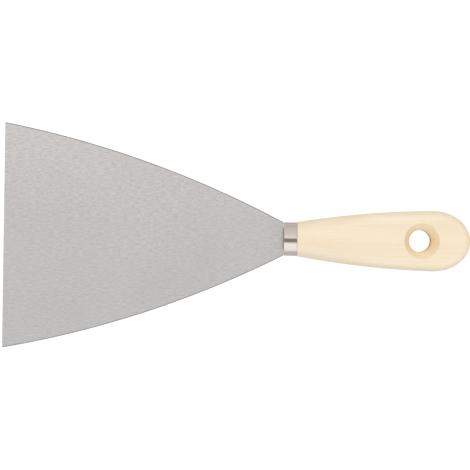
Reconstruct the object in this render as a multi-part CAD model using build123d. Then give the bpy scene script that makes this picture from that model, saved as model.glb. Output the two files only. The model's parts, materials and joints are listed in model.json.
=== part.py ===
"""A flexible putty knife: a taper-ground steel blade whose tang is glued into a wooden handle,
with a plated steel ferrule round the neck of the wood.

Each piece is drawn in the tool's own axes. X runs from the cutting edge, at 0, to the butt of the
handle, Y runs across the blade, and Z goes through its thickness, with 0 in the middle of the
steel. The finished pieces are then laid down together as the knife lies on a bench: it rests on
its cutting edge and on the neck of the handle, and the origin is on the bench under its middle.
"""

import os
from math import atan2, cos, degrees, hypot, pi, radians, sin, sqrt, tan

from build123d import *

# Driving dimensions, in millimetres
BLADE_WIDTH = 120.0
BLADE_LENGTH = 148.9
BLADE_ROOT_WIDTH = 17.5
BLADE_SIDE_RADIUS = 539.0
EDGE_THICKNESS = 0.5
ROOT_THICKNESS = 1.0
EDGE_EASING = 0.1
ROOT_GAP = 0.2

TANG_WIDTH = 11.0
TANG_END_WIDTH = 8.0
TANG_LENGTH = 49.5
TANG_POINT = 5.0
BARB_COUNT = 4
BARB_PITCH = 9.0
BARB_LENGTH = 5.0
BARB_DEPTH = 0.9
GLUE_THICKNESS = 0.5

FERRULE_LENGTH = 7.0
FERRULE_WIDTH = 17.5
FERRULE_DEPTH = 13.4
FERRULE_WALL = 0.6
FERRULE_LIP = 1.2
FERRULE_ROUNDING = 0.5

HANDLE_LENGTH = 89.1
SHOULDER_STEP = 0.35
NECK_LENGTH = 42.0
BELLY_WIDTH = 31.2
BELLY_DEPTH = 16.0
BUTT_LENGTH = 18.8
HANDLE_SIDE_RADIUS = 455.0
SIDE_APEX_OFFSET = 7.5
NECK_SQUARENESS = 2.0
BELLY_SQUARENESS = 5.0

HOLE_DIAMETER = 11.4
HOLE_FROM_BUTT = 25.4
RIM_DIAMETER = 18.0
COUNTERSINK_ANGLE = 60.0

OUTLINE_POINTS = 64
SECTION_COUNT = 10

# Places along the tool, from the cutting edge
MOUTH_X = BLADE_LENGTH
ROOT_X = MOUTH_X - ROOT_GAP
TENON_X = MOUTH_X + FERRULE_WALL
SHOULDER_X = MOUTH_X + FERRULE_LENGTH
BUTT_X = SHOULDER_X + HANDLE_LENGTH
WIDEST_X = BUTT_X - BUTT_LENGTH
HOLE_X = BUTT_X - HOLE_FROM_BUTT
TANG_END_X = MOUTH_X + TANG_LENGTH

NECK_HALF_DEPTH = FERRULE_DEPTH / 2 + SHOULDER_STEP
COUNTERSINK_DEPTH = (RIM_DIAMETER - HOLE_DIAMETER) / 2 / tan(radians(COUNTERSINK_ANGLE / 2))


def superellipse(half_width, half_depth, squareness):
    """A closed outline: an ellipse at squareness 2, and nearer to a rectangle above that."""
    points = []
    for number in range(OUTLINE_POINTS):
        angle = 2 * pi * number / OUTLINE_POINTS
        across = abs(cos(angle)) / half_width
        through = abs(sin(angle)) / half_depth
        reach = (across**squareness + through**squareness) ** (-1 / squareness)
        points.append((reach * cos(angle), reach * sin(angle)))
    return make_face(Spline(*points, periodic=True))


def across_tool(x, sketch):
    """A sketch of Y and Z, placed square to the tool at x."""
    return Plane.YZ.offset(x) * sketch


def oval_bar(start, end, half_width, half_depth):
    """A straight bar of the ferrule's elliptical section."""
    section = across_tool(start, Ellipse(half_width, half_depth))
    return extrude(section, amount=end - start, dir=(1, 0, 0))


def make_blade():
    """The free blade: two long arcs in plan, ground thinner towards the cutting edge."""
    half_edge, half_root = BLADE_WIDTH / 2, BLADE_ROOT_WIDTH / 2
    half_chord = hypot(ROOT_X, half_edge - half_root) / 2
    bulge = BLADE_SIDE_RADIUS - sqrt(BLADE_SIDE_RADIUS**2 - half_chord**2)
    plan = make_face([
        SagittaArc((0, half_edge), (ROOT_X, half_root), bulge),
        Line((ROOT_X, half_root), (ROOT_X, -half_root)),
        SagittaArc((ROOT_X, -half_root), (0, -half_edge), bulge),
        Line((0, -half_edge), (0, half_edge)),
    ])
    thin, thick = EDGE_THICKNESS / 2, ROOT_THICKNESS / 2
    taper = make_face(Polyline(
        (0, thin - EDGE_EASING), (EDGE_EASING, thin), (ROOT_X, thick),
        (ROOT_X, -thick), (EDGE_EASING, -thin), (0, EDGE_EASING - thin),
        close=True,
    ))
    wedge = extrude(Plane.XZ * taper, amount=BLADE_WIDTH, both=True)
    return extrude(plan, amount=ROOT_THICKNESS, both=True) & wedge


def make_blade_tang():
    """The tang, which runs on from the blade's root, with barbs along both its edges."""
    slope = (TANG_WIDTH - TANG_END_WIDTH) / 2 / (TANG_END_X - ROOT_X)
    edge = [(ROOT_X, TANG_WIDTH / 2)]
    for number in range(BARB_COUNT):
        notch_x = SHOULDER_X + BARB_PITCH * number
        barb_x = notch_x + BARB_LENGTH
        notch_y, barb_y = (TANG_WIDTH / 2 - slope * (x - ROOT_X) for x in (notch_x, barb_x))
        edge += [(notch_x, notch_y), (barb_x, barb_y - BARB_DEPTH), (barb_x, barb_y)]
    edge += [(TANG_END_X - TANG_POINT, TANG_END_WIDTH / 2), (TANG_END_X, TANG_END_WIDTH / 4)]
    other_edge = [(x, -y) for x, y in reversed(edge)]
    plan = make_face(Polyline(*edge, *other_edge, close=True))
    return extrude(plan, amount=ROOT_THICKNESS / 2, both=True)


def make_tang_slot():
    """The slot in the end of the handle, which the tang and its glue fill."""
    length = TANG_END_X + GLUE_THICKNESS - TENON_X
    width = TANG_WIDTH + 2 * GLUE_THICKNESS
    depth = ROOT_THICKNESS + 2 * GLUE_THICKNESS
    return Pos(TENON_X + length / 2, 0, 0) * Box(length, width, depth)


def make_ferrule():
    """A drawn steel cap: an oval wall, and a front lip that turns in round the tang."""
    outer = oval_bar(MOUTH_X, SHOULDER_X, FERRULE_WIDTH / 2, FERRULE_DEPTH / 2)
    front_edge = outer.edges().group_by(Axis.X)[0]
    outer = fillet(front_edge, FERRULE_ROUNDING)
    inner = oval_bar(
        TENON_X, SHOULDER_X, FERRULE_WIDTH / 2 - FERRULE_WALL, FERRULE_DEPTH / 2 - FERRULE_WALL
    )
    inset = FERRULE_WALL + FERRULE_LIP
    mouth = oval_bar(MOUTH_X, TENON_X, FERRULE_WIDTH / 2 - inset, FERRULE_DEPTH / 2 - inset)
    return outer - inner - mouth


def make_grip():
    """The outside of the wood, from the shoulder behind the ferrule to the butt.

    In plan the sides are long arcs, which would be parallel a little way past the widest place, and
    half an ellipse closes the butt. The neck's oval flattens into two parallel faces with rounded
    edges."""
    apex_x = WIDEST_X + SIDE_APEX_OFFSET
    arc_centre_y = BELLY_WIDTH / 2 - sqrt(HANDLE_SIDE_RADIUS**2 - SIDE_APEX_OFFSET**2)
    sections = []
    for number in range(SECTION_COUNT):
        x = SHOULDER_X + (WIDEST_X - SHOULDER_X) * number / (SECTION_COUNT - 1)
        half_width = arc_centre_y + sqrt(HANDLE_SIDE_RADIUS**2 - (apex_x - x) ** 2)
        along_neck = min((x - SHOULDER_X) / NECK_LENGTH, 1)
        swell = sin(along_neck * pi / 2) ** 2
        half_depth = NECK_HALF_DEPTH + (BELLY_DEPTH / 2 - NECK_HALF_DEPTH) * swell
        squareness = NECK_SQUARENESS + (BELLY_SQUARENESS - NECK_SQUARENESS) * swell
        sections.append(across_tool(x, superellipse(half_width, half_depth, squareness)))
    body = loft(sections)

    half_profile = superellipse(BELLY_WIDTH / 2, BELLY_DEPTH / 2, BELLY_SQUARENESS)
    half_profile &= Pos(BELLY_WIDTH / 2, 0) * Rectangle(BELLY_WIDTH, BELLY_DEPTH)
    half_disc = Rotation(0, 0, -90) * revolve(Plane.XZ * half_profile, Axis.Z, 180)
    butt = scale(half_disc, by=(2 * BUTT_LENGTH / BELLY_WIDTH, 1, 1))
    return body + Pos(WIDEST_X, 0, 0) * butt


def make_hang_hole():
    """The hole that is cut for a hook: a straight bore with a countersink from each face. The cut
    runs on past both faces at the same slope."""
    bore, rim = HOLE_DIAMETER / 2, RIM_DIAMETER / 2
    land = BELLY_DEPTH / 2 - COUNTERSINK_DEPTH
    outside, outer_radius = BELLY_DEPTH / 2 + COUNTERSINK_DEPTH, 2 * rim - bore
    half_profile = make_face(Polyline(
        (0, outside), (outer_radius, outside), (bore, land),
        (bore, -land), (outer_radius, -outside), (0, -outside),
        close=True,
    ))
    return Pos(HOLE_X, 0, 0) * revolve(Plane.XZ * half_profile, Axis.Z)


def make_handle():
    """The wooden handle, with a tenon inside the ferrule."""
    tenon = oval_bar(
        TENON_X, SHOULDER_X, FERRULE_WIDTH / 2 - FERRULE_WALL, FERRULE_DEPTH / 2 - FERRULE_WALL
    )
    return make_grip() + tenon - make_tang_slot() - make_hang_hole()


def make_tang_adhesive():
    """The cured glue that fills the slot round the tang."""
    return make_tang_slot() - make_blade_tang()


def lay_down(pieces):
    """Turn the pieces until the cutting edge and the neck are level, and set them on the bench."""
    tilt = atan2(NECK_HALF_DEPTH - EDGE_THICKNESS / 2, SHOULDER_X)
    turned = {name: Rotation(0, -degrees(tilt), 0) * piece for name, piece in pieces.items()}
    box = Compound(list(turned.values())).bounding_box()
    place = Pos(-box.center().X, 0, -box.min.Z)
    return {name: place * piece for name, piece in turned.items()}


def make_knife():
    """Every piece by its name, laid on the bench."""
    return lay_down({
        "blade": make_blade(),
        "blade_tang": make_blade_tang(),
        "ferrule": make_ferrule(),
        "handle": make_handle(),
        "tang_adhesive": make_tang_adhesive(),
    })


os.makedirs("parts", exist_ok=True)
for name, piece in make_knife().items():
    export_step(piece, f"parts/{name}.step")
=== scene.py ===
import json
from math import atan2, cos, hypot, pi, radians, sin, sqrt, tan

import bmesh
import bpy
from mathutils import Matrix, Vector


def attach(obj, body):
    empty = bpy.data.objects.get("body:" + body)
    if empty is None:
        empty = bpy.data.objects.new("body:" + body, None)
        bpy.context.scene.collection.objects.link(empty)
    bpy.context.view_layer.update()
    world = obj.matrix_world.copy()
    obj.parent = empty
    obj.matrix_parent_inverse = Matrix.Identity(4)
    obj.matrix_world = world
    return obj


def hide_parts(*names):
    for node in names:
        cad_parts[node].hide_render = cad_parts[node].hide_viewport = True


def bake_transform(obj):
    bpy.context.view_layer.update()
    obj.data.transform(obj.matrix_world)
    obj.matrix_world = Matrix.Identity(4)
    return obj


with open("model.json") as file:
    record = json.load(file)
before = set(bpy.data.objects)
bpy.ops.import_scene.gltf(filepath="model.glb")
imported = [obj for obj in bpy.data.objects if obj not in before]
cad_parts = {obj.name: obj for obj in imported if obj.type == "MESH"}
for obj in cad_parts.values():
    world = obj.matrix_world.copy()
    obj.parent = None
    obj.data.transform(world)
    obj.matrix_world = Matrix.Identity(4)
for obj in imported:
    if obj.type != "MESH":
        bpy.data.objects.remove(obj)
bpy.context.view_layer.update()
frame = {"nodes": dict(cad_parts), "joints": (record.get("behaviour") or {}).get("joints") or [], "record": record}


# The knife as it lies. Every piece is drawn in the tool's own axes, in metres: X from the cutting edge
# to the butt, Y across, Z through it with 0 in the middle of the steel. The knife lies tipped on its
# cutting edge and its neck, and the axis of the hang hole and the root of the blade say how far.

BLADE_LENGTH = 0.1487

hang_hole = frame["record"]["mounts"][0]
tool_up = Vector(hang_hole["axis"]).normalized()
tool_along = Vector((0, 1, 0)).cross(tool_up)
blade_root = Vector(frame["joints"][0]["pos_m"])
tool_start = blade_root - BLADE_LENGTH * tool_along
lie_down = Matrix.Translation(tool_start) @ Matrix((tool_along, (0, 1, 0), tool_up)).transposed().to_4x4()


# Blade. One piece of spring steel, cut out to two long arcs and ground lengthwise on both faces,
# thinner towards the cutting edge. Its root runs on as the tang, which is a piece of its own here.

EDGE_WIDTH = 0.120
ROOT_WIDTH = 0.0175
SIDE_RADIUS = 0.539
EDGE_THICKNESS = 0.0005
ROOT_THICKNESS = 0.0010
EDGE_EASING = 0.00016
EASING_STEPS = 2
ROWS_ALONG = 151
ROWS_ACROSS = 33


def srgb(code):
    """A colour written as #rrggbb, turned to linear light."""
    channels = [int(code[place:place + 2], 16) / 255 for place in (1, 3, 5)]
    return (*(c / 12.92 if c <= 0.04045 else ((c + 0.055) / 1.055) ** 2.4 for c in channels), 1.0)


def add(tree, kind, inputs=None, **settings):
    """Adds a node. inputs gives each socket, by name or number, a value, an output, or a node whose
    first output it takes."""
    node = tree.nodes.new(kind)
    for setting, value in settings.items():
        setattr(node, setting, value)
    for socket, value in (inputs or {}).items():
        if isinstance(value, bpy.types.Node):
            value = value.outputs[0]
        if isinstance(value, bpy.types.NodeSocket):
            tree.links.new(value, node.inputs[socket])
        else:
            node.inputs[socket].default_value = value
    return node


def empty_material(name):
    """A material with nothing in its node tree yet, and that tree."""
    material = bpy.data.materials.new(name)
    material.use_nodes = True
    material.node_tree.nodes.clear()
    return material, material.node_tree


def ground_steel(name, face_colour, stroke_colour, edge_shade_colour, roughness):
    """Spring steel ground on a belt, which gives the eye a satin grey with fine straight strokes from heel to
    edge, and a darker line painted along the sides as painted shade, where the edges mirror darker surroundings.
    Real strokes are about 0.05 mm wide and these are about 0.5 mm, coarse enough to show from arm's length."""
    material, tree = empty_material(name)
    place = add(tree, "ShaderNodeUVMap", uv_map="UVMap")
    stroke_place = add(tree, "ShaderNodeMapping", {"Vector": place, "Scale": (300, 1500, 1)})
    grit_place = add(tree, "ShaderNodeMapping", {"Vector": place, "Scale": (700, 2400, 1)})
    strokes = add(tree, "ShaderNodeTexNoise", {"Vector": stroke_place, "Scale": 1.0, "Detail": 3.0})
    grit = add(tree, "ShaderNodeTexNoise", {"Vector": grit_place, "Scale": 1.0, "Detail": 2.0})
    clouds = add(tree, "ShaderNodeTexNoise", {"Vector": place, "Scale": 22.0, "Detail": 2.0})
    lines = add(tree, "ShaderNodeMix", {0: 0.5, 2: strokes, 3: grit}, data_type="FLOAT")
    shade = add(tree, "ShaderNodeMapRange", {0: lines, 1: 0.33, 2: 0.67, 3: 0.0, 4: 1.0})
    ground = add(tree, "ShaderNodeMix", {
        0: shade, 6: srgb(stroke_colour), 7: srgb(face_colour),
    }, data_type="RGBA")
    cloudy = add(tree, "ShaderNodeMapRange", {0: clouds, 1: 0.3, 2: 0.7, 3: 0.98, 4: 1.02})
    tinted = add(tree, "ShaderNodeVectorMath", {0: ground.outputs[2], "Scale": cloudy}, operation="SCALE")
    # Painted shade: the colour turns darker within 0.6 mm of each side, standing in for the dark line that the
    # sides mirror.
    from_side = add(tree, "ShaderNodeAttribute", attribute_name="from_side").outputs["Fac"]
    painted_edge_shade = add(tree, "ShaderNodeMapRange", {0: from_side, 1: 0.0002, 2: 0.0006, 3: 1.0, 4: 0.0})
    colour = add(tree, "ShaderNodeMix", {0: painted_edge_shade, 6: tinted, 7: srgb(edge_shade_colour)}, data_type="RGBA")
    rough = add(tree, "ShaderNodeMapRange", {
        0: lines, 1: 0.3, 2: 0.7, 3: roughness + 0.06, 4: roughness - 0.06,
    })
    bump = add(tree, "ShaderNodeBump", {"Strength": 0.3, "Distance": 0.00003, "Height": lines})
    shader = add(tree, "ShaderNodeBsdfPrincipled", {
        "Base Color": colour.outputs[2], "Metallic": 1.0, "Roughness": rough, "Normal": bump,
    })
    add(tree, "ShaderNodeOutputMaterial", {"Surface": shader})
    return material


blade_steel = ground_steel("ground_spring_steel", "#f9fbfd", "#d3d6da", "#8c8b8a", 0.42)
sheared_steel = ground_steel("sheared_spring_steel", "#8f8e8c", "#7c7b79", "#76746f", 0.5)

half_edge, half_root = EDGE_WIDTH / 2, ROOT_WIDTH / 2
chord = hypot(BLADE_LENGTH, half_edge - half_root)
centre_to_chord = sqrt(SIDE_RADIUS**2 - (chord / 2) ** 2)
arc_centre_x = BLADE_LENGTH / 2 - centre_to_chord * (half_edge - half_root) / chord
arc_centre_y = (half_edge + half_root) / 2 - centre_to_chord * BLADE_LENGTH / chord

# The tree shapes a thin block: each corner goes out to the side arc at its place along the blade.
# What it stores for the grinding strokes and the rim is worked out before the corners move.
blade_tree = bpy.data.node_groups.new("blade_from_two_arcs", "GeometryNodeTree")
blade_inputs = {
    "Length": BLADE_LENGTH, "Side Radius": SIDE_RADIUS,
    "Arc Centre Along": arc_centre_x, "Arc Centre Across": arc_centre_y,
    "Edge Thickness": EDGE_THICKNESS, "Root Thickness": ROOT_THICKNESS,
    "Rows Along": ROWS_ALONG, "Rows Across": ROWS_ACROSS,
    "Steel": blade_steel, "Sheared Steel": sheared_steel,
}
socket_kinds = {float: "NodeSocketFloat", int: "NodeSocketInt", bpy.types.Material: "NodeSocketMaterial"}
blade_sockets = {
    name: blade_tree.interface.new_socket(name, in_out="INPUT", socket_type=socket_kinds[type(value)])
    for name, value in blade_inputs.items()
}
blade_tree.interface.new_socket("Geometry", in_out="OUTPUT", socket_type="NodeSocketGeometry")

given = add(blade_tree, "NodeGroupInput").outputs
block = add(blade_tree, "GeometryNodeMeshCube", {
    "Vertices X": given["Rows Along"], "Vertices Y": given["Rows Across"], "Vertices Z": 2,
})
corner = add(blade_tree, "ShaderNodeSeparateXYZ", {0: add(blade_tree, "GeometryNodeInputPosition")})
share_along = add(blade_tree, "ShaderNodeMath", {0: corner.outputs["X"], 1: 0.5}, operation="ADD")
along = add(blade_tree, "ShaderNodeMath", {0: share_along, 1: given["Length"]}, operation="MULTIPLY")
past_centre = add(blade_tree, "ShaderNodeMath", {
    0: along, 1: given["Arc Centre Along"],
}, operation="SUBTRACT")
radius_squared = add(blade_tree, "ShaderNodeMath", {0: given["Side Radius"], 1: 2.0}, operation="POWER")
past_squared = add(blade_tree, "ShaderNodeMath", {0: past_centre, 1: 2.0}, operation="POWER")
rise_squared = add(blade_tree, "ShaderNodeMath", {0: radius_squared, 1: past_squared}, operation="SUBTRACT")
rise = add(blade_tree, "ShaderNodeMath", {0: rise_squared}, operation="SQRT")
half_width = add(blade_tree, "ShaderNodeMath", {0: rise, 1: given["Arc Centre Across"]}, operation="ADD")
side = add(blade_tree, "ShaderNodeMath", {0: corner.outputs["Y"], 1: 2.0}, operation="MULTIPLY")
across = add(blade_tree, "ShaderNodeMath", {0: side, 1: half_width}, operation="MULTIPLY")
thickness = add(blade_tree, "ShaderNodeMix", {
    0: share_along, 2: given["Edge Thickness"], 3: given["Root Thickness"],
}, data_type="FLOAT")
through = add(blade_tree, "ShaderNodeMath", {0: corner.outputs["Z"], 1: thickness}, operation="MULTIPLY")
mapped = add(blade_tree, "GeometryNodeStoreNamedAttribute", {
    "Geometry": block, "Name": "UVMap",
    "Value": add(blade_tree, "ShaderNodeCombineXYZ", {0: along, 1: across}),
}, data_type="FLOAT2", domain="CORNER")
out = add(blade_tree, "ShaderNodeMath", {0: across}, operation="ABSOLUTE")
from_side = add(blade_tree, "ShaderNodeMath", {0: half_width, 1: out}, operation="SUBTRACT")
measured = add(blade_tree, "GeometryNodeStoreNamedAttribute", {
    "Geometry": mapped, "Name": "from_side", "Value": from_side,
}, data_type="FLOAT", domain="POINT")
shaped = add(blade_tree, "GeometryNodeSetPosition", {
    "Geometry": measured,
    "Position": add(blade_tree, "ShaderNodeCombineXYZ", {0: along, 1: across, 2: through}),
})
facing = add(blade_tree, "ShaderNodeSeparateXYZ", {0: add(blade_tree, "GeometryNodeInputNormal")})
slope = add(blade_tree, "ShaderNodeMath", {0: facing.outputs["Z"]}, operation="ABSOLUTE")
is_side = add(blade_tree, "ShaderNodeMath", {0: slope, 1: 0.5}, operation="LESS_THAN")
realized = add(blade_tree, "GeometryNodeRealizeInstances", {0: shaped})
faced = add(blade_tree, "GeometryNodeSetMaterial", {"Geometry": realized, "Material": given["Steel"]})
edged = add(blade_tree, "GeometryNodeSetMaterial", {
    "Geometry": faced, "Selection": is_side, "Material": given["Sheared Steel"],
})
add(blade_tree, "NodeGroupOutput", {0: edged})

carrier = bpy.data.objects.new("carrier", bpy.data.meshes.new("carrier"))
bpy.context.scene.collection.objects.link(carrier)
shaping = carrier.modifiers.new("shaping", "NODES")
shaping.node_group = blade_tree
for name, value in blade_inputs.items():
    shaping[blade_sockets[name].identifier] = value
easing = carrier.modifiers.new("easing", "BEVEL")
easing.width, easing.segments, easing.material = EDGE_EASING, EASING_STEPS, 1
easing.limit_method, easing.angle_limit = "ANGLE", radians(60)
blade_mesh = bpy.data.meshes.new_from_object(carrier.evaluated_get(bpy.context.evaluated_depsgraph_get()))
carrier.modifiers.clear()
bpy.data.objects.remove(carrier)


def finish_mesh(mesh, name, sharp_angle):
    """Lays a mesh down with the knife, smooths all but its sharp edges, and makes it an object."""
    mesh.transform(lie_down)
    smoothed = bmesh.new()
    smoothed.from_mesh(mesh)
    for face in smoothed.faces:
        face.smooth = True
    for edge in smoothed.edges:
        edge.smooth = len(edge.link_faces) == 2 and edge.calc_face_angle(pi) < radians(sharp_angle)
    smoothed.to_mesh(mesh)
    smoothed.free()
    mesh.name = name
    piece = bpy.data.objects.new(name, mesh)
    bpy.context.scene.collection.objects.link(piece)
    return piece


blade = finish_mesh(blade_mesh, "blade_of_spring_steel", sharp_angle=20)
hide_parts("blade")
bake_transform(blade)


# Tang. The same steel, narrowed and barbed, inside the handle, with the dull skin that it left the mill
# with. Only what stands between the root of the blade and the mouth of the ferrule can be seen.

tang_steel, tree = empty_material("mill_finish_spring_steel")  # dull grey, mottled by rolling scale
place = add(tree, "ShaderNodeTexCoord").outputs["Object"]
scale_marks = add(tree, "ShaderNodeTexNoise", {"Vector": place, "Scale": 900.0, "Detail": 4.0})
colour = add(tree, "ShaderNodeMix", {
    0: scale_marks, 6: srgb("#8b8a88"), 7: srgb("#a9a8a6"),
}, data_type="RGBA")
rough = add(tree, "ShaderNodeMapRange", {0: scale_marks, 1: 0.3, 2: 0.7, 3: 0.35, 4: 0.55})
shader = add(tree, "ShaderNodeBsdfPrincipled", {
    "Base Color": colour.outputs[2], "Metallic": 1.0, "Roughness": rough,
})
add(tree, "ShaderNodeOutputMaterial", {"Surface": shader})
frame["nodes"]["blade_tang"].data.materials.clear()
frame["nodes"]["blade_tang"].data.materials.append(tang_steel)


# Glue. Two-part epoxy poured into the slot round the tang, cured to a hard amber. Its front is level
# with the end of the wood, inside the ferrule's mouth.

epoxy, tree = empty_material("cured_epoxy")  # glossy amber, a little uneven where bubbles rose
place = add(tree, "ShaderNodeTexCoord").outputs["Object"]
bubbles = add(tree, "ShaderNodeTexNoise", {"Vector": place, "Scale": 1400.0, "Detail": 2.0})
colour = add(tree, "ShaderNodeMix", {0: bubbles, 6: srgb("#b58b4e"), 7: srgb("#d0ab6e")}, data_type="RGBA")
bump = add(tree, "ShaderNodeBump", {"Strength": 0.3, "Distance": 0.0001, "Height": bubbles})
shader = add(tree, "ShaderNodeBsdfPrincipled", {
    "Base Color": colour.outputs[2], "Roughness": 0.25, "IOR": 1.55, "Normal": bump,
})
add(tree, "ShaderNodeOutputMaterial", {"Surface": shader})
frame["nodes"]["tang_adhesive"].data.materials.clear()
frame["nodes"]["tang_adhesive"].data.materials.append(epoxy)


# Ferrule. A cap drawn from thin steel strip and nickel plated, oval, with a rounded front corner and
# a lip that turns in round the tang. It is pressed on to the end of the wood.

MOUTH_X = 0.1489
FERRULE_LENGTH = 0.0070
FERRULE_HALF_WIDTH = 0.00875
FERRULE_HALF_DEPTH = 0.0067
FERRULE_WALL = 0.0006
FERRULE_LIP = 0.0012
FRONT_ROUNDING = 0.0005
BACK_ROUNDING = 0.0002
FERRULE_STEPS = 192

SHOULDER_X = MOUTH_X + FERRULE_LENGTH
FRONT_STEPS, LIP_STEPS, BACK_STEPS = 8, 8, 4
WALL_RINGS = (0.05, 0.25, 0.5, 0.7, 0.84)


def arc_points(centre, radius, start, end, steps):
    """Points on an arc about a centre, from one angle to another, in degrees."""
    angles = [radians(start + (end - start) * step / steps) for step in range(steps + 1)]
    return [(centre[0] + radius * cos(angle), centre[1] + radius * sin(angle)) for angle in angles]


# Each point of the wall's section is a place along the tool and a depth below the outer surface. The
# section goes forward along the outside, round the front, in round the lip and back along the inside.
lip_inset = FERRULE_WALL + FERRULE_LIP
lip_radius = FERRULE_WALL / 2
back_centre = (SHOULDER_X - BACK_ROUNDING, BACK_ROUNDING)
front_centre = (MOUTH_X + FRONT_ROUNDING, FRONT_ROUNDING)
section = (
    arc_points(back_centre, BACK_ROUNDING, 0, -90, BACK_STEPS)
    + [(SHOULDER_X - FERRULE_LENGTH * share, 0.0) for share in WALL_RINGS]
    + arc_points(front_centre, FRONT_ROUNDING, -90, -180, FRONT_STEPS)
    + arc_points((MOUTH_X + lip_radius, lip_inset - lip_radius), lip_radius, 180, 0, LIP_STEPS)
    + [(MOUTH_X + FERRULE_WALL, FERRULE_WALL), (SHOULDER_X, FERRULE_WALL)]
)
shell = bmesh.new()
rings = []
for x, inset in section:
    turns = [2 * pi * step / FERRULE_STEPS for step in range(FERRULE_STEPS)]
    half_width, half_depth = FERRULE_HALF_WIDTH - inset, FERRULE_HALF_DEPTH - inset
    rings.append([shell.verts.new((x, half_width * cos(turn), half_depth * sin(turn))) for turn in turns])
for ring, next_ring in zip(rings, rings[1:] + rings[:1]):
    for step in range(FERRULE_STEPS):
        after = (step + 1) % FERRULE_STEPS
        shell.faces.new((ring[step], ring[after], next_ring[after], next_ring[step]))
bmesh.ops.recalc_face_normals(shell, faces=shell.faces)
ferrule_mesh = bpy.data.meshes.new("ferrule")
shell.to_mesh(ferrule_mesh)
shell.free()

# Bright nickel gives the eye sharp bands of light and dark, a little warm. The lines that buffing left
# run round the cap. Real ones are under 0.1 mm apart and these are about 0.4 mm, so that they show.
nickel, tree = empty_material("nickel_plated_steel")
place = add(tree, "ShaderNodeTexCoord").outputs["Object"]
buffed = add(tree, "ShaderNodeMapping", {"Vector": place, "Scale": (2500, 90, 90)})
buff_lines = add(tree, "ShaderNodeTexNoise", {"Vector": buffed, "Scale": 1.0, "Detail": 3.0})
haze = add(tree, "ShaderNodeTexNoise", {"Vector": place, "Scale": 320.0, "Detail": 3.0})
colour = add(tree, "ShaderNodeMix", {0: haze, 6: srgb("#d8d2cd"), 7: srgb("#e2dcd7")}, data_type="RGBA")
rough = add(tree, "ShaderNodeMapRange", {0: haze, 1: 0.3, 2: 0.7, 3: 0.09, 4: 0.15})
bump = add(tree, "ShaderNodeBump", {"Strength": 0.05, "Distance": 0.00002, "Height": buff_lines})
shader = add(tree, "ShaderNodeBsdfPrincipled", {
    "Base Color": colour.outputs[2], "Metallic": 1.0, "Roughness": rough, "Normal": bump,
})
add(tree, "ShaderNodeOutputMaterial", {"Surface": shader})
ferrule_mesh.materials.append(nickel)
ferrule = finish_mesh(ferrule_mesh, "ferrule_of_nickel_plate", sharp_angle=35)
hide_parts("ferrule")
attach(ferrule, "handle")


# Handle. One piece of pale close-grained hardwood, shaped to two flat faces with rounded edges and an
# oval neck, slotted for the tang, bored and countersunk for a hook, then dipped in clear lacquer.

HANDLE_LENGTH = 0.0891
BUTT_LENGTH = 0.0188
BUTT_FALL = 0.00045
SIDE_RADIUS_OF_HANDLE = 0.455
SIDE_APEX_OFFSET = 0.0075
BELLY_HALF_WIDTH = 0.0156
BELLY_HALF_DEPTH = 0.0080
NECK_LENGTH = 0.042
NECK_HALF_DEPTH = 0.00705
CORNER = 0.0046
SHOULDER_EASING = 0.0003
HOLE_FROM_BUTT = 0.0254
BORE_RADIUS = 0.0057
RIM_RADIUS = 0.0090
COUNTERSINK_ANGLE = 60
RIM_EASING = 0.0005
WAIST_EASING = 0.0006
SLOT_HALF_WIDTH = 0.0060
SLOT_HALF_DEPTH = 0.0010
SLOT_END_X = 0.1989
BODY_STATIONS = 72
BUTT_STATIONS = 72
FACE_STEPS, WALL_STEPS, CORNER_TURN = 8, 3, 6
WELD = 1e-7

TENON_X = MOUTH_X + FERRULE_WALL
butt_x = SHOULDER_X + HANDLE_LENGTH
widest_x = butt_x - BUTT_LENGTH
hole_x = butt_x - HOLE_FROM_BUTT
side_arc_y = BELLY_HALF_WIDTH - sqrt(SIDE_RADIUS_OF_HANDLE**2 - SIDE_APEX_OFFSET**2)


def half_section(x, squeeze=0.0):
    """Points (distance out from the middle, height) from the top face round the edge to the bottom
    face, at a place along the handle. squeeze draws the whole section in."""
    along_neck = min(max((x - SHOULDER_X) / NECK_LENGTH, 0), 1)
    swell = sin(along_neck * pi / 2) ** 2
    before_apex = widest_x + SIDE_APEX_OFFSET - x
    width = side_arc_y + sqrt(SIDE_RADIUS_OF_HANDLE**2 - before_apex**2) - squeeze
    depth = NECK_HALF_DEPTH + (BELLY_HALF_DEPTH - NECK_HALF_DEPTH) * swell - squeeze
    corner_out = width + (CORNER - width) * swell
    corner_down = depth + (CORNER - depth) * swell
    flat_out, flat_down = width - corner_out, depth - corner_down
    face = [(flat_out * step / FACE_STEPS, depth) for step in range(FACE_STEPS)]
    turn = [(flat_out + corner_out * sin(radians(angle)), flat_down + corner_down * cos(radians(angle)))
            for angle in range(0, 91, CORNER_TURN)]
    wall = [(width, flat_down * step / WALL_STEPS) for step in range(WALL_STEPS - 1, 0, -1)]
    upper = face + turn + wall
    lower = [(out, -height) for out, height in reversed(upper)]
    return upper + [(width, 0.0)] + lower


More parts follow.
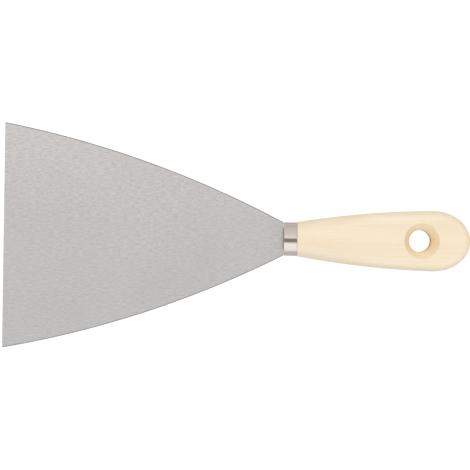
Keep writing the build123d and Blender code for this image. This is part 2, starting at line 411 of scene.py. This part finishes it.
# The skin goes up one side, round the butt and back down the other, in strips from the top face's
# middle line round the edge to the bottom face's. Both faces fall away a little at the butt.
body_start = SHOULDER_X + 2 * SHOULDER_EASING
stations = [
    (SHOULDER_X, SHOULDER_EASING),
    (SHOULDER_X + 0.3 * SHOULDER_EASING, 0.3 * SHOULDER_EASING),
    (SHOULDER_X + SHOULDER_EASING, 0.0),
] + [(body_start + (widest_x - body_start) * step / BODY_STATIONS, 0.0) for step in range(BODY_STATIONS)]
wood = bmesh.new()
strips = []
for x, squeeze in stations:
    strips.append([wood.verts.new((x, out, height)) for out, height in half_section(x, squeeze)])
for step in range(BUTT_STATIONS + 1):
    turn = pi / 2 - pi * step / BUTT_STATIONS
    rim_x, rim_y = BUTT_LENGTH * cos(turn), BELLY_HALF_WIDTH * sin(turn)
    reach = hypot(rim_x, rim_y)
    strip = []
    for out, height in half_section(widest_x):
        if out > BELLY_HALF_WIDTH - CORNER:
            share = 1 - (BELLY_HALF_WIDTH - out) / reach
        else:
            share = out / (BELLY_HALF_WIDTH - CORNER) * (1 - CORNER / reach)
        fall = BUTT_FALL / BELLY_HALF_DEPTH * (cos(turn) * share) ** 2
        strip.append(wood.verts.new((widest_x + rim_x * share, rim_y * share, height * (1 - fall))))
    strips.append(strip)
for x, squeeze in reversed(stations):
    strips.append([wood.verts.new((x, -out, height)) for out, height in half_section(x, squeeze)])
for strip, next_strip in zip(strips, strips[1:]):
    for step in range(len(strip) - 1):
        wood.faces.new((strip[step], strip[step + 1], next_strip[step + 1], next_strip[step]))
bmesh.ops.remove_doubles(wood, verts=wood.verts, dist=WELD)
bmesh.ops.dissolve_degenerate(wood, edges=wood.edges, dist=WELD)

# The tenon closes the front end, inside the ferrule.
open_edges = [edge for edge in wood.edges if edge.is_boundary]
shoulder_ring = bmesh.ops.extrude_edge_only(wood, edges=open_edges)["geom"]
for corner in shoulder_ring:
    if isinstance(corner, bmesh.types.BMVert):
        turn = atan2(corner.co.z / FERRULE_HALF_DEPTH, corner.co.y / FERRULE_HALF_WIDTH)
        corner.co.y = (FERRULE_HALF_WIDTH - FERRULE_WALL) * cos(turn)
        corner.co.z = (FERRULE_HALF_DEPTH - FERRULE_WALL) * sin(turn)
tenon_edges = [edge for edge in wood.edges if edge.is_boundary]
end_ring = bmesh.ops.extrude_edge_only(wood, edges=tenon_edges)["geom"]
for corner in end_ring:
    if isinstance(corner, bmesh.types.BMVert):
        corner.co.x = TENON_X
bmesh.ops.contextual_create(wood, geom=[edge for edge in wood.edges if edge.is_boundary])
bmesh.ops.recalc_face_normals(wood, faces=wood.faces)
whole_mesh = bpy.data.meshes.new("whole_handle")
wood.to_mesh(whole_mesh)
wood.free()

# The cutters: the countersunk bore, turned about its axis, and the slot for the tang and its glue.
# Sanding has taken the sharpness off both corners of the countersink. The rounding of the rim starts
# just below the face, where the cutter goes straight up, so that the two cross at a clear angle.
CUTTER_STEPS = 128
RIM_ARC_START = 125
EASED_STEPS = 3
SEAM_WELD = 1e-6
rim_slope = radians(COUNTERSINK_ANGLE / 2)
land = BELLY_HALF_DEPTH - (RIM_RADIUS - BORE_RADIUS) / tan(rim_slope)
rim_centre = (RIM_RADIUS + RIM_EASING * tan(rim_slope), BELLY_HALF_DEPTH - RIM_EASING)
waist_centre = (BORE_RADIUS + WAIST_EASING, land - WAIST_EASING * tan(rim_slope / 2))
cone_angle = 180 - COUNTERSINK_ANGLE / 2
rim_arc = arc_points(rim_centre, RIM_EASING, RIM_ARC_START, cone_angle, EASED_STEPS)
waist_arc = arc_points(waist_centre, WAIST_EASING, cone_angle, 180, EASED_STEPS)
past_face = BELLY_HALF_DEPTH + RIM_RADIUS
upper_profile = [(0, past_face), (rim_arc[0][0], past_face)] + rim_arc + waist_arc
cutter_profile = upper_profile + [(radius, -height) for radius, height in reversed(upper_profile)]
cutter = bmesh.new()
spine = [cutter.verts.new((hole_x + radius, 0, height)) for radius, height in cutter_profile]
spine_edges = [cutter.edges.new(pair) for pair in zip(spine, spine[1:])]
bmesh.ops.spin(cutter, geom=spine + spine_edges, cent=(hole_x, 0, 0), axis=(0, 0, 1), angle=2 * pi,
               steps=CUTTER_STEPS)
bmesh.ops.remove_doubles(cutter, verts=cutter.verts, dist=SEAM_WELD)
slot_start_x = TENON_X - CORNER
slot_place = Matrix.Translation(((slot_start_x + SLOT_END_X) / 2, 0, 0))
slot_size = Matrix.Diagonal((SLOT_END_X - slot_start_x, 2 * SLOT_HALF_WIDTH, 2 * SLOT_HALF_DEPTH, 1))
bmesh.ops.create_cube(cutter, size=1, matrix=slot_place @ slot_size)
bmesh.ops.recalc_face_normals(cutter, faces=cutter.faces)
cutter_mesh = bpy.data.meshes.new("cutters")
cutter.to_mesh(cutter_mesh)
cutter.free()

whole_handle = bpy.data.objects.new("whole_handle", whole_mesh)
cutters = bpy.data.objects.new("cutters", cutter_mesh)
for part in (whole_handle, cutters):
    bpy.context.scene.collection.objects.link(part)
boring = whole_handle.modifiers.new("boring", "BOOLEAN")
boring.object, boring.operation, boring.solver = cutters, "DIFFERENCE", "EXACT"
handle_mesh = bpy.data.meshes.new_from_object(
    whole_handle.evaluated_get(bpy.context.evaluated_depsgraph_get()))
for part in (whole_handle, cutters):
    bpy.data.objects.remove(part)

# Lacquered hardwood gives the eye a pale cream with faint streaks along the grain. Where the grain is
# cut across it drinks the lacquer and turns amber, at the butt and in the hang hole. Inside the countersink
# and the bore the wood is painted lighter, painted light that offsets the shade in the hollow. Growth rings are
# about 5 mm apart. The fibres are drawn about 1 mm wide and the pores 0.3 mm, several times their real size,
# so that they show.
RIM_FADE = 0.0008
lacquered_wood, tree = empty_material("lacquered_pale_hardwood")
lie_angle = atan2(tool_along.z, tool_along.x)
place = add(tree, "ShaderNodeTexCoord").outputs
upright = add(tree, "ShaderNodeMapping", {"Vector": place["Object"], "Rotation": (0, lie_angle, 0)})
facing = add(tree, "ShaderNodeMapping", {"Vector": place["Normal"], "Rotation": (0, lie_angle, 0)})
figure_place = add(tree, "ShaderNodeMapping", {"Vector": upright, "Scale": (6, 60, 60)})
fibre_place = add(tree, "ShaderNodeMapping", {"Vector": upright, "Scale": (30, 900, 900)})
pore_place = add(tree, "ShaderNodeMapping", {"Vector": upright, "Scale": (260, 3200, 3200)})
ring_place = add(tree, "ShaderNodeMapping", {"Vector": upright, "Location": (0, 0.031, 0.046)})
figure = add(tree, "ShaderNodeTexNoise", {"Vector": figure_place, "Scale": 1.0, "Detail": 3.0})
fibre = add(tree, "ShaderNodeTexNoise", {"Vector": fibre_place, "Scale": 1.0, "Detail": 3.0})
pores = add(tree, "ShaderNodeTexNoise", {"Vector": pore_place, "Scale": 1.0, "Detail": 1.0})
rings = add(tree, "ShaderNodeTexWave", {
    "Vector": ring_place, "Scale": 60.0, "Distortion": 1.6, "Detail": 2.0, "Detail Scale": 0.6,
}, wave_type="RINGS", rings_direction="X")
streak = add(tree, "ShaderNodeMapRange", {0: figure, 1: 0.35, 2: 0.65, 3: 0.0, 4: 1.0})
pale = add(tree, "ShaderNodeMix", {0: streak, 6: srgb("#efe2c8"), 7: srgb("#f4e9d4")}, data_type="RGBA")
line = add(tree, "ShaderNodeMapRange", {0: fibre, 1: 0.3, 2: 0.7, 3: 0.0, 4: 0.3})
lined = add(tree, "ShaderNodeMix", {0: line, 6: pale.outputs[2], 7: srgb("#e6d4b0")}, data_type="RGBA")
ring_share = add(tree, "ShaderNodeMath", {0: rings.outputs[1], 1: 0.2}, operation="MULTIPLY")
ringed = add(tree, "ShaderNodeMix", {
    0: ring_share, 6: lined.outputs[2], 7: srgb("#e4d0a8"),
}, data_type="RGBA")
fleck = add(tree, "ShaderNodeMapRange", {0: pores, 1: 0.68, 2: 0.76, 3: 0.0, 4: 0.22})
flecked = add(tree, "ShaderNodeMix", {0: fleck, 6: ringed.outputs[2], 7: srgb("#c8ab7a")}, data_type="RGBA")
end_facing = add(tree, "ShaderNodeMath", {
    0: add(tree, "ShaderNodeSeparateXYZ", {0: facing}).outputs["X"],
}, operation="ABSOLUTE")
end_grain = add(tree, "ShaderNodeMapRange", {0: end_facing, 1: 0.3, 2: 0.95, 3: 0.0, 4: 0.5})
from_hole = add(tree, "ShaderNodeVectorMath", {
    0: place["Object"], 1: tuple(hang_hole["pos_m"]),
}, operation="SUBTRACT")
from_bore_line = add(tree, "ShaderNodeMapping", {
    "Vector": from_hole, "Rotation": (0, lie_angle, 0), "Scale": (1, 1, 0),
})
reach = add(tree, "ShaderNodeVectorMath", {0: from_bore_line}, operation="LENGTH").outputs["Value"]
# Painted light: within the rim of the countersink the wood is painted lighter, offsetting the shade inside the
# hollow.
hole_painted_light = add(tree, "ShaderNodeMapRange", {
    0: reach, 1: RIM_RADIUS - RIM_FADE, 2: RIM_RADIUS, 3: 0.85, 4: 0.0,
})
hole_lightened = add(tree, "ShaderNodeMix", {0: hole_painted_light, 6: flecked.outputs[2], 7: srgb("#fff1d2")}, data_type="RGBA")
thirsty = add(tree, "ShaderNodeMix", {
    0: end_grain, 6: hole_lightened.outputs[2], 7: srgb("#f5d3a0"),
}, data_type="RGBA")
rough = add(tree, "ShaderNodeMapRange", {0: fibre, 1: 0.3, 2: 0.7, 3: 0.34, 4: 0.46})
grain_height = add(tree, "ShaderNodeMath", {0: fibre, 1: pores}, operation="SUBTRACT")
bump = add(tree, "ShaderNodeBump", {"Strength": 0.15, "Distance": 0.00004, "Height": grain_height})
shader = add(tree, "ShaderNodeBsdfPrincipled", {
    "Base Color": thirsty.outputs[2], "Roughness": rough, "IOR": 1.5, "Normal": bump,
    "Coat Weight": 0.2, "Coat Roughness": 0.3,
})
add(tree, "ShaderNodeOutputMaterial", {"Surface": shader})
handle_mesh.materials.clear()
handle_mesh.materials.append(lacquered_wood)
handle = finish_mesh(handle_mesh, "handle_of_pale_hardwood", sharp_angle=32)
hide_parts("handle")
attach(handle, "handle")


# Studio. A pale table in a soft white tent, both burnt out to plain white for the lens, with a dark gap
# overhead where the camera looks in, one soft box, and a camera that looks straight down.

TABLE_SIZE = 40.0
TABLE_DROP = 0.0001
TENT_STRENGTH = 1.31
BURNT_OUT = 1.05
LAMP_WIDTH, LAMP_DEPTH, LAMP_POWER = 1.6, 1.0, 7.9
LAMP_PLACE = (0.1, 0.6, 1.4)
CAMERA_HEIGHT = 0.45
FIELD_WIDTH = 0.2506
CAMERA_ROLL = 0.85
CAMERA_AIM = (0.0008, 0.0017)

bpy.ops.mesh.primitive_plane_add(size=TABLE_SIZE, location=(0, 0, -TABLE_DROP))
table = bpy.context.object
table.name = "pale_table"
table_white, tree = empty_material("matt_white_laminate")
shader = add(tree, "ShaderNodeMixShader", {
    0: add(tree, "ShaderNodeLightPath").outputs["Is Camera Ray"],
    1: add(tree, "ShaderNodeBsdfDiffuse", {"Color": srgb("#cfcfcf")}),
    2: add(tree, "ShaderNodeEmission", {"Color": (1, 1, 1, 1), "Strength": BURNT_OUT}),
})
add(tree, "ShaderNodeOutputMaterial", {"Surface": shader})
table.data.materials.append(table_white)

world = bpy.data.worlds.new("white_tent")
bpy.context.scene.world = world
world.use_nodes = True
tree = world.node_tree
tree.nodes.clear()
way = add(tree, "ShaderNodeSeparateXYZ", {0: add(tree, "ShaderNodeTexCoord").outputs["Generated"]})
lean = add(tree, "ShaderNodeMath", {0: way.outputs["Y"], 1: way.outputs["Z"]}, operation="ARCTAN2")
share = add(tree, "ShaderNodeMapRange", {0: lean, 1: -pi / 2, 2: pi / 2, 3: 0.0, 4: 1.0})
tent = add(tree, "ShaderNodeValToRGB", {0: share})
# Each seam of the tent is a lean from upright towards +Y, in degrees, and how white the cloth is there.
seams = [(-90, "#b4b4b4"), (-65, "#ececec"), (-30, "#f3f3f3"), (-19, "#dedede"), (-17, "#827c77"),
         (3, "#827c77"), (5, "#f2ede9"), (12, "#ddd7d2"), (37, "#cfc8c2"), (60, "#cac4be"), (90, "#b6b0ab")]
while len(tent.color_ramp.elements) < len(seams):
    tent.color_ramp.elements.new(1.0)
for element, (seam, white) in zip(tent.color_ramp.elements, seams):
    element.position, element.color = (seam + 90) / 180, srgb(white)
# The end of the tent beyond the blade is open to a dim room.
open_end = add(tree, "ShaderNodeMapRange", {0: way.outputs["X"], 1: -0.97, 2: -0.88, 3: 0.35, 4: 1.0})
strength = add(tree, "ShaderNodeMath", {0: open_end, 1: TENT_STRENGTH}, operation="MULTIPLY")
cloth = add(tree, "ShaderNodeBackground", {"Color": tent, "Strength": strength})
burnt_out = add(tree, "ShaderNodeBackground", {"Color": (1, 1, 1, 1), "Strength": BURNT_OUT})
background = add(tree, "ShaderNodeMixShader", {
    0: add(tree, "ShaderNodeLightPath").outputs["Is Camera Ray"], 1: cloth, 2: burnt_out,
})
add(tree, "ShaderNodeOutputWorld", {0: background})

lamp = bpy.data.lights.new("soft_box", "AREA")
lamp.shape, lamp.size, lamp.size_y, lamp.energy = "RECTANGLE", LAMP_WIDTH, LAMP_DEPTH, LAMP_POWER
soft_box = bpy.data.objects.new("soft_box", lamp)
soft_box.location = LAMP_PLACE
soft_box.visible_glossy = False
soft_box.rotation_euler = (-soft_box.location).to_track_quat("-Z", "Y").to_euler()
bpy.context.scene.collection.objects.link(soft_box)

lens = bpy.data.cameras.new("overhead_camera")
lens.sensor_width = 36.0
lens.lens = lens.sensor_width * CAMERA_HEIGHT / FIELD_WIDTH
lens.clip_start, lens.clip_end = 0.01, 20.0
camera = bpy.data.objects.new("overhead_camera", lens)
camera.location = (*CAMERA_AIM, CAMERA_HEIGHT)
camera.rotation_euler = (0, 0, radians(CAMERA_ROLL))
bpy.context.scene.collection.objects.link(camera)
bpy.context.scene.camera = camera
bpy.context.scene.view_settings.view_transform = "Standard"
